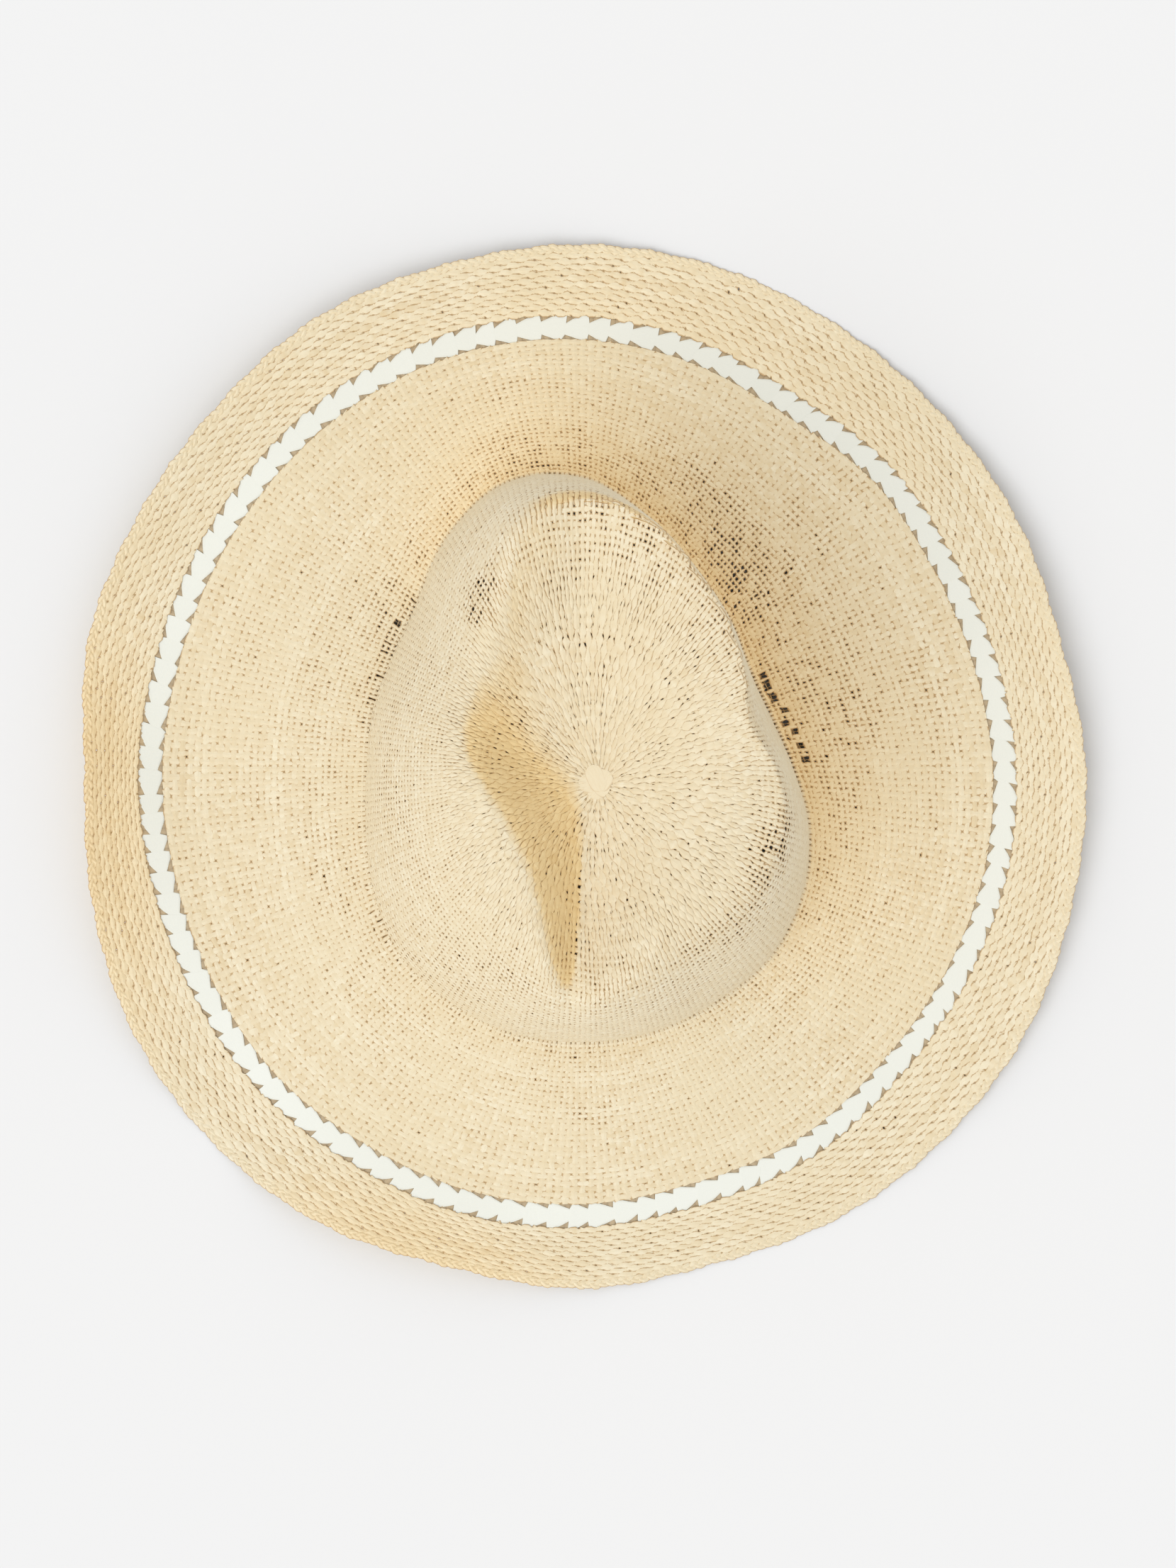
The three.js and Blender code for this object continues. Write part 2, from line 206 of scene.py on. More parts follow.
# Wide holes along the break line: azimuths in degrees between which they stand, how many half
# columns part them, the nearest weft that they cut, how many warps at least, and the share of
# them that cut one more. Each stands up to GAP_SHIFT of its stride aside, and the strands that
# it cuts are narrower there and lie GAP_SINK deeper.
WideHoles = namedtuple("WideHoles", "start end stride nearest fewest wider")
WIDE_HOLES = (
    WideHoles(320, 352, 9, 0, 0, 0.12),
    WideHoles(32, 40, 5, 0, 0, 0.12),
    WideHoles(182, 206, 6, 1, 1, 0.3),
)
GAP_SHIFT = 0.3
GAP_NARROWING = 0.72
GAP_SINK = 1.6

# The strands round those wide holes are narrower too, over some half rows of crown and brim and
# eased over BREAK_EASE degrees. BREAK_HOLE_LEAST: the least share of BREAK_HOLE that one loses.
BREAK_HOLE = 0.22
BREAK_HOLE_LEAST = 0.3
BREAK_EASE = 3
CROWN_BREAK_ROWS = 3
BRIM_BREAK_ROWS = 5

# Where the cloth is folded this sharply, as a share of the pitch lost, its warps are closed up
# to FOLD_WIDTH. RIDGE_SINK: how much of a ridge's height the wefts sink into it.
SHARP_FOLD = 0.03
FOLD_WIDTH = 1.3
RIDGE_SINK = 1.8

# How much further in the painted shade along a strand's edges comes beside holes and on the
# crown top
HOLE_PAINTED_SHADE = 1.0
GAP_PAINTED_SHADE = 2.5
TOP_EDGE_SHADE = -0.15

# Where the weave is open: azimuth in degrees, share of the way from the crown's foot out to the
# trim or up to the tip, how far the patch reaches in both, and how open its middle is
BRIM_OPEN_PATCHES = (
    (200, 0.15, 35, 0.45, 1),
    (240, 0.15, 30, 0.4, 1),
    (280, 0, 25, 0.3, 0.9),
    (318, 0.1, 22, 0.25, 0.7),
    (0, 0.25, 25, 0.2, 0.5),
    (40, 0.2, 25, 0.22, 0.35),
    (90, 0.03, 30, 0.12, 0.5),
    (150, 0.1, 22, 0.25, 0.6),
)
CROWN_OPEN_PATCHES = (
    (305, 0.46, 7, 0.06, 2.4),
    (280, 0.4, 20, 0.18, 0.4),
    (245, 0.5, 18, 0.12, 0.8),
    (222, 0.5, 16, 0.1, 0.7),
    (188, 0.45, 20, 0.1, 0.5),
    (160, 0.5, 10, 0.07, 1.4),
    (137, 0.47, 16, 0.08, 1.1),
    (105, 0.4, 20, 0.12, 0.5),
    (320, 0.75, 35, 0.2, 0.6),
    (50, 0.35, 25, 0.15, 0.4),
    (0, 0.25, 30, 0.12, 0.35),
)

# Openness by chance besides those patches: how strong, and the waves that it is made of
CHANCE_OPENNESS = 0.2
FIELD_WAVES = 14
FIELD_ROUND_TURNS = 12
FIELD_ROW_TURNS = 3

# Petals over the tip. Each lies PETAL_STACK over the one before, and its end droops.
TIP_PETALS = 5
PETAL_STEPS = 9
PETAL_START = -1.5
PETAL_LENGTH = 7.2
PETAL_WIDTH = 7
PETAL_SQUARENESS = 0.98
PETAL_LIFT = -0.5
PETAL_STACK = 0.04
PETAL_DROOP = 0.2
PETAL_TONE = 0.4
# How far in the painted shade along the petals' edges comes
PETAL_EDGE_SHADE = 0.87

# Plait along the edge
EDGE_PLAIT_STRANDS = 3
EDGE_PLAIT_TURNS = 132
EDGE_PLAIT_STEPS = 10
EDGE_PLAIT_WIDTH = 3.8
EDGE_PLAIT_RISE = 0.2
EDGE_STRAND_WIDTH = 2.0
EDGE_HALF_STRAND = 0.2
EDGE_UNEVEN = 0.4
EDGE_UNEVEN_TURNS = 80
EDGE_WIDTH_WAVES = 0.1
EDGE_WIDTH_TURNS = 90
EDGE_TONE = 0.5
EDGE_TONE_WAVES = 0.5
EDGE_TONE_TURNS = 30
EDGE_TONE_CHANCE = 0.6

# White trim, folded from flat straw. One unit: place along it, reach from notch to tip, and
# height of its middle over the face. Reach and spacing differ a little from unit to unit.
TRIM_UNITS = 126
TRIM_TIP_REACH = 4.4
TRIM_NOTCH_REACH_OUT = 1.7
TRIM_NOTCH_REACH_IN = 2.3
TRIM_UNIT_ROWS = (
    (0.0, 0.0, -0.95),
    (0.3, 0.4, -0.95),
    (0.6, 0.8, -0.95),
    (0.76, 1.0, -0.94),
    (0.94, 1.0, -0.93),
)
TRIM_TUCK = 0.7
FLAT_HALF_THICKNESS = 0.05
TRIM_UNEVEN_SPACING = 0.09
TRIM_SPACING_LIMIT = 2
TRIM_UNEVEN_NOTCH = 0.28
TRIM_NOTCH_CHANCE = (-0.4, 1)
TRIM_TONE_CHANCE = 0.5

# Warps that pass under the trim
BACKING_STEPS = 5
BACKING_REACH = 6
BACKING_LIFT = -1.25
BACKING_HALF_WIDTH = 0.52
BACKING_TONE = -0.6
BACKING_TONE_CHANCE = 0.4

# Looks, with linear colours. edge: painted shade, the darker colour along a strand's two edges.
Look = namedtuple("Look", "name pale deep warm edge roughness sheen")
STRAW = Look(
    "woven_paper_straw", pale=(0.85, 0.775, 0.59), deep=(0.73, 0.6, 0.385),
    warm=(0.785, 0.68, 0.47), edge=(0.42, 0.24, 0.08), roughness=0.66, sheen=0.12,
)
SHADED_STRAW = Look(
    "shaded_paper_straw", pale=(0.6, 0.48, 0.31), deep=(0.42, 0.32, 0.2),
    warm=(0.6, 0.48, 0.31), edge=(0.42, 0.32, 0.2), roughness=0.7, sheen=0.1,
)
WHITE_STRAW = Look(
    "flat_white_straw", pale=(0.82, 0.83, 0.77), deep=(0.78, 0.79, 0.72),
    warm=(0.81, 0.82, 0.75), edge=(0.76, 0.76, 0.68), roughness=0.5, sheen=0.1,
)
STREAK_SIZE = (0.3, 3.0, 1.0)
STREAK_SCALE = 1.0
GRAIN_SHIFT = 13.7
BROAD_PATCH_SCALE = 22.0
NOISE_DETAIL = 3.0
TONE_SPAN = (-2, 2)
PATCH_SPAN = (0.42, 0.68)
PATCH_TINT = 0.6
FIBRE_SPAN = (0.35, 0.7)
FIBRE_TINT = 0.4
# Painted shade along a strand's edges: where across it begins and ends, and how strong it is
EDGE_PAINTED_SHADE_SPAN = (0.7, 0.95)
EDGE_PAINTED_SHADE = 0.75
ROUGHNESS_SPAN = (0.3, 0.7)
ROUGHNESS_SPREAD = 0.08
STRAW_SPECULAR = 0.3
BUMP_STRENGTH = 0.35
BUMP_DEPTH = 0.1

# Places of the colour sockets of a mix node
MIX_INPUTS = (6, 7)
MIX_OUTPUT = 2

# Painted warm shade and light, multiplied into the straw's colour: painted shade on the slopes of
# the crown's dents turned away from the light, and painted light in the crown's lee with the
# slopes of the outer brim turned away from it. Then how strong that is, how deep a dent has it in
# full, and how far it reaches down the wall and out on the brim.
DENT_PAINTED_SHADE = (1.05, 0.92, 0.68)
LEE_PAINTED_LIGHT = (1.24, 1.08, 0.82)
DENT_SHADE_STRENGTH = 2.6
DENT_FULL_SHADE_DEPTH = 5
SHADE_WALL_REACH = 6
LEE_LIGHT_STRENGTH = 1.05
LEE_START = 0.18
LEE_LIGHT_REACH = 28
OUTER_LIGHT_STRENGTH = 1.0

# Studio, in metres and degrees, with the lens and its sensor in millimetres
FLOOR_ALBEDO = 0.82
FLOOR_ROUGHNESS = 0.9
FLOOR_SPECULAR = 0.1
FLOOR_SIZE = 8
FLOOR_GAP = 0.0002
FILL_STRENGTH = 0.795
KEY_STRENGTH = 1.16
KEY_SPREAD = 49
KEY_AZIMUTH = 42
KEY_ELEVATION = 56
CAMERA_PLACE = (-0.00118, 0.00631, 1.6)
CAMERA_LENS = 100.8
CAMERA_SENSOR = 36


# The hat's outer face

def smooth_curve(start, rise, end, fall, part):
    """The cubic curve from one value and slope to another, at a part of the way."""
    square = part * part
    cube = square * part
    return (
        start * (2 * cube - 3 * square + 1)
        + rise * (cube - 2 * square + part)
        + end * (3 * square - 2 * cube)
        + fall * (cube - square)
    )


def through_values(before, start, end, after, part):
    """The smooth curve through four neighbouring values, between the middle two."""
    return smooth_curve(start, (end - before) / 2, end, (after - start) / 2, part)


def column(rows, columns, name):
    return np.array([row[columns.index(name)] for row in rows], float)


def section(name, azimuth):
    """A value of the section table at any azimuth in radians."""
    values = column(SECTION_ROWS, SECTION_COLUMNS, name)
    count = len(values)
    place = (azimuth / FULL_TURN % 1) * count
    first = np.floor(place).astype(int)
    around = [values[(first + shift) % count] for shift in (-1, 0, 1, 2)]
    return through_values(*around, place - first)


def station(name, y):
    """A value of the station table at any y, held beyond its two ends."""
    values = column(STATION_ROWS, STATION_COLUMNS, name)
    places = column(STATION_ROWS, STATION_COLUMNS, "y")
    last = len(values) - 1
    place = np.clip((y - places[0]) / (places[1] - places[0]), 0, last)
    first = np.minimum(np.floor(place).astype(int), last - 1)
    around = [values[np.clip(first + shift, 0, last)] for shift in (-1, 0, 1, 2)]
    return through_values(*around, place - first)


def smooth_lower(a, b, blend):
    """The lower of two heights, rounded over where they are within blend of each other."""
    share = np.maximum(blend - np.abs(a - b), 0) / blend
    return np.minimum(a, b) - share ** 3 * blend / 6


def smooth_step(values, start, end):
    """0 up to start, 1 from end on, and a smooth rise between."""
    share = np.clip((values - start) / (end - start), 0, 1)
    return share * share * (3 - 2 * share)


def crease_share(x, y):
    """How much of the crease's depth is left at a place, 1 in its line and 0 at its rims."""
    offset = x - station("crease_x", y)
    on_left = offset > 0
    width = np.where(on_left, station("left", y), station("right", y))
    fold = np.where(on_left, station("left_fold", y), station("right_fold", y))
    raw = np.minimum(np.abs(offset) / width, 1)
    hollow = (1 + np.cos(math.pi * raw ** np.where(on_left, LEFT_HOLLOW_POWER, 1))) / 2
    softened = np.sqrt(raw * raw + CREASE_ROUNDING ** 2) - CREASE_ROUNDING * (1 - raw)
    folded = 1 - np.sin(math.pi / 2 * np.minimum(softened, 1))
    return fold * folded + (1 - fold) * hollow


def crown_top_height(x, y):
    camber = TOP_CAMBER * (x / TOP_HALF_WIDTH) ** 2
    return station("ridge", y) - camber - station("depth", y) * crease_share(x, y)


def bowed_rise(share):
    """The share of WALL_RUN_HEIGHT that the bowed wall reaches at a share of its lean."""
    at_foot = WALL_BOW_START ** WALL_BOW_POWER
    span = (1 + WALL_BOW_START) ** WALL_BOW_POWER - at_foot
    below = share * WALL_BOW_POWER * at_foot / (WALL_BOW_START * span)
    above = ((np.maximum(share, 0) + WALL_BOW_START) ** WALL_BOW_POWER - at_foot) / span
    return np.where(share < 0, below, above)


def crown_wall_height(radius, azimuth):
    share = (section("crown_radius", azimuth) - radius) / section("wall_run", azimuth)
    return CROWN_BASE_HEIGHT + WALL_RUN_HEIGHT * bowed_rise(share)


def ease_height(start, slope_start, end, slope_end, run, part):
    """A curve from one height and slope to another over a run, and straight on past its ends."""
    rise = slope_start * run
    fall = slope_end * run
    curve = smooth_curve(start, rise, end, fall, np.clip(part, 0, 1))
    return curve + rise * np.minimum(part, 0) + fall * np.maximum(part - 1, 0)


def brim_height(radius, azimuth):
    """The brim's height: one curve from foot to trim, and one on to the edge."""
    foot = section("crown_radius", azimuth)
    trim = section("trim_radius", azimuth)
    edge = section("edge_radius", azimuth)
    trim_height = section("trim_height", azimuth)
    edge_height = section("edge_height", azimuth)
    inner_fall = (trim_height - CROWN_BASE_HEIGHT) / (trim - foot)
    outer_fall = (edge_height - trim_height) / (edge - trim)
    slope_at_trim = (inner_fall + outer_fall) / 2
    slope_at_edge = 2 * outer_fall - slope_at_trim
    inner = ease_height(
        CROWN_BASE_HEIGHT, BRIM_SLOPE_AT_BASE, trim_height, slope_at_trim,
        trim - foot, (radius - foot) / (trim - foot),
    )
    outer = ease_height(
        trim_height, slope_at_trim, edge_height, slope_at_edge,
        edge - trim, (radius - trim) / (edge - trim),
    )
    return np.where(radius < trim, inner, outer)


def hat_height(x, y):
    """Height of the hat's outer face at a place measured from the axis."""
    radius = np.hypot(x, y)
    azimuth = np.arctan2(y, x)
    shoulder = section("shoulder", azimuth)
    crown = smooth_lower(crown_top_height(x, y), crown_wall_height(radius, azimuth), shoulder)
    return -smooth_lower(-crown, -brim_height(radius, azimuth), BASE_FILLET_BLEND)


def plan_place(radius, azimuth):
    """Where the meridian at an azimuth passes at a radius. Near the middle it drifts to the tip."""
    drift = np.maximum(1 - radius / TIP_DRIFT_RADIUS, 0) ** 2
    x = radius * np.cos(azimuth) + WOVEN_TIP[0] * drift
    y = radius * np.sin(azimuth) + WOVEN_TIP[1] * drift
    return x, y


def unit(vectors):
    return vectors / np.maximum(np.linalg.norm(vectors, axis=-1, keepdims=True), TINY)


Face = namedtuple("Face", "points normals")


def face_at(radius, azimuth):
    """Points of the outer face in millimetres in the frame, and the normals there."""
    x, y = plan_place(radius, azimuth)
    rise_x = hat_height(x + NORMAL_STEP, y) - hat_height(x - NORMAL_STEP, y)
    rise_y = hat_height(x, y + NORMAL_STEP) - hat_height(x, y - NORMAL_STEP)
    normals = np.stack([-rise_x, -rise_y, np.full_like(rise_x, 2 * NORMAL_STEP)], axis=-1)
    points = np.stack([x + AXIS[0], y + AXIS[1], hat_height(x, y)], axis=-1)
    return Face(points, unit(normals))


def painted_shade_at(points, normals):
    """Painted warm shade and light, by where a place faces and lies against the key light: up to 1
    for painted shade on the slopes of the crown's dents, and down to -1 for painted light on the
    brim in the lee of the crown and on slopes of the outer brim."""
    light_azimuth = math.radians(KEY_AZIMUTH)
    light = np.array([math.cos(light_azimuth), math.sin(light_azimuth)])
    x = points[..., 0] - AXIS[0]
    y = points[..., 1] - AXIS[1]
    radius = np.hypot(x, y)
    azimuth = np.arctan2(y, x)
    turned_away = np.clip(-(normals[..., :2] @ light), 0, 1)
    dent = np.clip(station("depth", y) * crease_share(x, y) / DENT_FULL_SHADE_DEPTH, 0, 1)
    below_top = crown_top_height(x, y) - points[..., 2]
    dent = dent * np.clip(2 - below_top / SHADE_WALL_REACH, 0, 1)
    # Painted shade on dent slopes turned away from the light; painted light in the lee and on outer
    # slopes
    dent_shade = DENT_SHADE_STRENGTH * turned_away * dent
    past_foot = np.maximum(radius - section("crown_radius", azimuth), 0)
    towards_light = (x * light[0] + y * light[1]) / np.maximum(radius, 1)
    lee = np.clip(LEE_START - towards_light, 0, 1)
    lee_light = LEE_LIGHT_STRENGTH * lee * np.exp(-past_foot / LEE_LIGHT_REACH)
    past_trim = np.clip((radius - section("trim_radius", azimuth)) / TRIM_TIP_REACH, 0, 1)
    outer_light = OUTER_LIGHT_STRENGTH * turned_away * past_trim
    return np.clip(np.where(past_foot > 0, -lee_light - outer_light, dent_shade), -1, 1)


# Strands

class Bundle:
    """Strands that become one mesh. Each is a closed tube with a low section."""

    def __init__(self):
        self.corners = []
        self.faces = []
        self.grains = []
        self.values = {"strand_tone": [], "strand_side": [], "painted_light_and_shade": []}
        self.count = 0

    def lay(self, centres, normals, half_widths, half_thickness, tones, closed,
            profile=RIDGE, tint=1):
        """centres and normals are strands by steps by 3; the other arrays are strands by steps.
        profile is the strands' section. tint brings the painted shade along its edges further in."""
        shape = half_widths.shape
        strands, steps = shape
        count = len(profile)
        across, upward = np.array(profile, float).T
        ahead = np.roll(centres, -1, axis=1) - np.roll(centres, 1, axis=1)
        if not closed:
            ahead[:, 0] = centres[:, 1] - centres[:, 0]
            ahead[:, -1] = centres[:, -1] - centres[:, -2]
        sides = unit(np.cross(ahead, normals)) * half_widths[..., None]
        rings = (
            centres[:, :, None]
            + sides[:, :, None] * across[:, None]
            + normals[:, :, None] * (upward * half_thickness)[:, None]
        )
        rings[..., 2] = np.maximum(rings[..., 2], 0)
        strides = np.linalg.norm(np.diff(centres, axis=1, prepend=centres[:, :1]), axis=-1)
        along = np.cumsum(strides, axis=1)[..., None]
        shifts = GRAIN_SHIFT * np.arange(strands)[:, None, None]
        grain = np.broadcast_arrays(half_widths[..., None] * across, along, shifts)
        reach = np.broadcast_to(tint, shape)[..., None] * across
        self.corners.append(rings.reshape(-1, 3))
        self.grains.append(np.stack(grain, axis=-1).reshape(-1, 3))
        self.values["strand_tone"].append(np.repeat(np.broadcast_to(tones, shape).ravel(), count))
        self.values["strand_side"].append(reach.ravel())
        # Painted warm shade and light for the straw's colour, from where each place lies against
        # the light
        self.values["painted_light_and_shade"].append(np.repeat(painted_shade_at(centres, normals).ravel(), count))
        self.faces.extend(self.count + part for part in tube_faces(strands, steps, count, closed))
        self.count += strands * steps * count

    def mesh(self, name):
        corners = np.concatenate(self.corners) * MM
        sizes = np.concatenate([np.full(len(part), part.shape[1]) for part in self.faces])
        loops = np.concatenate([part.ravel() for part in self.faces]).astype(np.int32)
        starts = np.concatenate([[0], np.cumsum(sizes)[:-1]]).astype(np.int32)
        mesh = bpy.data.meshes.new(name)
        mesh.vertices.add(len(corners))
        mesh.vertices.foreach_set("co", corners.ravel())
        mesh.loops.add(len(loops))
        mesh.loops.foreach_set("vertex_index", loops)
        mesh.polygons.add(len(starts))
        mesh.polygons.foreach_set("loop_start", starts)
        mesh.update(calc_edges=True)
        mesh.shade_flat()
        for value_name, parts in self.values.items():
            values = mesh.attributes.new(value_name, "FLOAT", "POINT")
            values.data.foreach_set("value", np.concatenate(parts).astype(np.float32))
        grains = mesh.attributes.new("straw_grain", "FLOAT_VECTOR", "POINT")
        grains.data.foreach_set("vector", np.concatenate(self.grains).ravel().astype(np.float32))
        return mesh


def tube_faces(strands, steps, count, closed):
    """Corner numbers of the tubes of a set of strands, count corners round, with end caps on
    open ones."""
    starts = np.arange(strands)[:, None, None] * steps * count
    joins = steps if closed else steps - 1
    near = (np.arange(joins) * count)[None, :, None]
    far = (((np.arange(joins) + 1) % steps) * count)[None, :, None]
    side = np.arange(count)[None, None, :]
    turned = (side + 1) % count
    walls = np.stack(
        [starts + near + side, starts + near + turned, starts + far + turned, starts + far + side],
        axis=-1,
    ).reshape(-1, 4)
    if closed:
        return [walls]
    first = starts[:, 0] + np.arange(count)[::-1]
    last = starts[:, 0] + (steps - 1) * count + np.arange(count)
    return [walls, first, last]


def placed(name, data):
    """An object in the scene that holds a mesh, a lamp or a lens."""
    thing = bpy.data.objects.new(name, data)
    bpy.context.scene.collection.objects.link(thing)
    return thing


def piece(name, bundle, finish, nodes):
    thing = placed(name, bundle.mesh(name))
    thing.data.materials.append(finish)
    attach(thing, "root")
    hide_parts(*nodes)


# Chance, always from the same seed

chance = np.random.default_rng(RANDOM_SEED)


def waves(shape, turns, closed):
    """Smooth chance values from about -1 to 1 along the last axis, different for each row."""
    rows, steps = shape
    place = np.arange(steps) / (steps if closed else steps - 1)
    total = np.zeros(shape)
    for octave in WAVE_OCTAVES:
        cycles = np.round(turns * octave * chance.uniform(*WAVE_STRETCH, (rows, 1)))
        total += np.sin(FULL_TURN * (cycles * place + chance.uniform(0, 1, (rows, 1)))) / octave
    return total / WAVE_HEIGHT


def chance_field(columns, rows):
    """A smooth chance field over a weave, from about -1 to 1, that closes round the hat."""
    around = np.arange(columns)[:, None] / columns
    along = np.arange(rows)[None, :] / rows
    total = np.zeros((columns, rows))
    for _ in range(FIELD_WAVES):
        cycles = chance.integers(1, FIELD_ROUND_TURNS + 1)
        drift = chance.uniform(-FIELD_ROW_TURNS, FIELD_ROW_TURNS)
        total += np.sin(FULL_TURN * (cycles * around + drift * along + chance.uniform()))
    return total / math.sqrt(FIELD_WAVES)


def uneven_width(width, variety):
    factor = 1 + WIDTH_WAVES * waves(width.shape, variety.width_turns, variety.closed)
    return width * (factor + chance.normal(0, WIDTH_CHANCE, width.shape))


def uneven_tones(tone, shape, variety):
    """Tones along some strands: each strand's own, waves along it, and single places."""
    own = variety.own_tone * chance.normal(0, 1, (shape[0], 1))
    wavy = variety.tone_waves * waves(shape, variety.tone_turns, variety.closed)
    return tone + own + wavy + TONE_CHANCE * chance.normal(0, 1, shape)


# The weave

class Weave:
    """A net of half columns by half rows on the face. Even half columns carry warps and odd
    half rows carry wefts. strides tells for each half row how many half columns part a warp
    from the middle between it and the next, and spans is the same number eased over some rows.
    holes, gaps and ragged are set afterwards, where a weave has them."""

    def __init__(self, azimuths, radii, strides, phase):
        face = face_at(radii, azimuths)
        self.points = face.points
        self.normals = face.normals
        self.count, self.rows = face.points.shape[:2]
        self.strides = strides
        self.phase = phase
        padded = np.pad(strides.astype(float), DROP_ROWS // 2, mode="edge")
        self.spans = np.convolve(padded, np.ones(DROP_ROWS) / DROP_ROWS, mode="valid")
        following = np.roll(face.points, -1, axis=0)
        self.round_way = following - np.roll(face.points, 1, axis=0)
        self.down_way = 2 * np.gradient(face.points, axis=1)
        ahead = np.linalg.norm(following - face.points, axis=-1)
        self.round_pitch = ahead + np.roll(ahead, 1, axis=0)
        below = np.linalg.norm(np.diff(face.points, axis=1), axis=-1)
        above = np.pad(below, ((0, 0), (1, 0)), mode="edge")
        self.down_pitch = above + np.pad(below, ((0, 0), (0, 1)), mode="edge")
        self.folded = self.fold_sharpness()
        self.bulge = self.ridge_height()
        self.holes = np.zeros(self.folded.shape)
        self.gaps = np.zeros(self.folded.shape)
        self.ragged = None

    def fold_sharpness(self):
        """From 0 to 1, how sharply the cloth is folded across its warps."""
        straight = np.linalg.norm(self.round_way, axis=-1)
        return np.clip((1 - straight / self.round_pitch) / SHARP_FOLD, 0, 1)

    def ridge_height(self):
        """How far a place stands out over the line between its neighbours up and down."""
        beside = np.pad(self.points, ((0, 0), (1, 1), (0, 0)), mode="edge")
        out = self.points - (beside[:, 2:] + beside[:, :-2]) / 2
        height = np.maximum(np.sum(out * self.normals, axis=-1), 0)
        height[:, [0, -1]] = 0
        return height

    def warp_over(self, half_columns, half_rows):
        """1 where a warp lies over a weft, -1 where under it, and 0 between wefts."""
        stride = self.strides[half_rows]
        parity = (half_columns // (2 * stride) + half_rows // 2 + self.phase) % 2
        return np.where(half_rows % 2 == 1, 1 - 2 * parity, 0)


def width_at(strand, over):
    return np.where(over > 0, strand.over, np.where(over < 0, strand.under, strand.between))


def lift_at(strand, over):
    low = np.where(over < 0, strand.lift_under, strand.lift_between)
    return MID_LIFT + np.where(over > 0, strand.lift_over, low)


def beside_holes(width, over, holes, gaps):
    """The widths of strands that leave small holes and wide ones beside them."""
    small = np.where(over == 0, holes, CROSSING_HOLE * holes)
    return width * (1 - small) * (1 - GAP_NARROWING * gaps)


# Painted shade along strands' edges, brought further in beside small holes and in wide holes
def painted_edge_shade(holes, gaps):
    return 1 + HOLE_PAINTED_SHADE * holes + GAP_PAINTED_SHADE * gaps


def lay_warps(bundle, weave, half_columns, strand, tone, grade=None):
    """Lays the warps at some half columns. Those with a grade end where strides pass it."""
    spans = weave.spans
    end = weave.rows
    if grade is not None:
        spans = np.minimum(weave.spans, 2 * grade - weave.spans)
        end = np.argmax(weave.spans > WARP_END * grade)
    rows = np.arange(end)
    at = np.ix_(half_columns, rows)
    gaps = weave.gaps[at]
    holes = weave.holes[at] * (1 - weave.folded[at])
    over = weave.warp_over(half_columns[:, None], rows[None, :])
    here = Strand(*(part[None, rows] for part in strand))
    share = np.maximum(width_at(here, over), FOLD_WIDTH * weave.folded[at])
    width = beside_holes(weave.round_pitch[at] * spans[rows] * share, over, holes, gaps)
    width = uneven_width(width, WARP_VARIETY)
    shape = width.shape
    aside = WANDER * waves(shape, WARP_VARIETY.way_turns, WARP_VARIETY.closed) * spans[rows]
    lift = lift_at(here, over) + chance.normal(0, LIFT_CHANCE, shape) - GAP_SINK * gaps
    centres = weave.points[at] + weave.normals[at] * lift[..., None]
    centres = centres + weave.round_way[at] * aside[..., None]
    # Painted shade along the edges, further in beside holes
    tint = painted_edge_shade(holes, gaps)
    if weave.ragged is not None:
        slip = weave.ragged[rows] * chance.uniform(-1, 1, shape)
        centres = centres + weave.down_way[at] * slip[..., None]
        tint = tint + TOP_EDGE_SHADE * weave.ragged[rows] / RAGGED_TOP
    tones = uneven_tones(tone, shape, WARP_VARIETY)
    bundle.lay(centres, weave.normals[at], width / 2, HALF_STRAND, tones, False, tint=tint)


def lay_weft(bundle, weave, row, strand, tone, twist=0):
    """Lays the closed weft of one row. twist slants its floats across the row."""
    half_row = 2 * row + 1
    stride = weave.strides[half_row]
    columns = np.arange(0, weave.count, stride)
    at = (columns[None, :], half_row)
    gaps = weave.gaps[at]
    holes = weave.holes[at]
    on_warp = (columns // stride) % 2 == 0
    over = np.where(on_warp, -weave.warp_over(columns, np.array(half_row)), 0)[None, :]
    slant = np.where(on_warp, 0, np.roll(over[0], 1) - np.roll(over[0], -1))[None, :] / 2
    here = Strand(*(part[half_row] for part in strand))
    width = beside_holes(weave.down_pitch[at] * width_at(here, over), over, holes, gaps)
    width = uneven_width(width, WEFT_VARIETY)
    shape = width.shape
    aside = WANDER * waves(shape, WEFT_VARIETY.way_turns, WEFT_VARIETY.closed) + twist * slant
    lift = lift_at(here, over) + chance.normal(0, LIFT_CHANCE, shape)
    lift = lift - RIDGE_SINK * weave.bulge[at] - GAP_SINK * gaps
    centres = weave.points[at] + weave.normals[at] * lift[..., None]
    centres = centres + weave.down_way[at] * aside[..., None]
    tones = uneven_tones(tone, shape, WEFT_VARIETY)
    # Painted shade along the edges, further in beside holes
    tint = painted_edge_shade(holes, gaps)
    bundle.lay(centres, weave.normals[at], width / 2, HALF_STRAND, tones, True, tint=tint)


def half_columns_round(warps):
    return np.arange(2 * warps) / (2 * warps) * FULL_TURN


def top_share(rows):
    """How far each half row of the crown has turned from the wall's weave into the top's."""
    return smooth_step(np.arange(rows) / rows, *WALL_TO_TOP)


def crown_strand(wall, top, rows):
    """A strand's numbers for every half row of the crown, changing from wall to top."""
    share = top_share(rows)
    return Strand(*(at_wall + (at_top - at_wall) * share for at_wall, at_top in zip(wall, top)))


def brim_strand(strand, rows):
    """A strand's numbers for every half row of the brim, where they stay the same."""
    return Strand(*(np.full(rows, part) for part in strand))


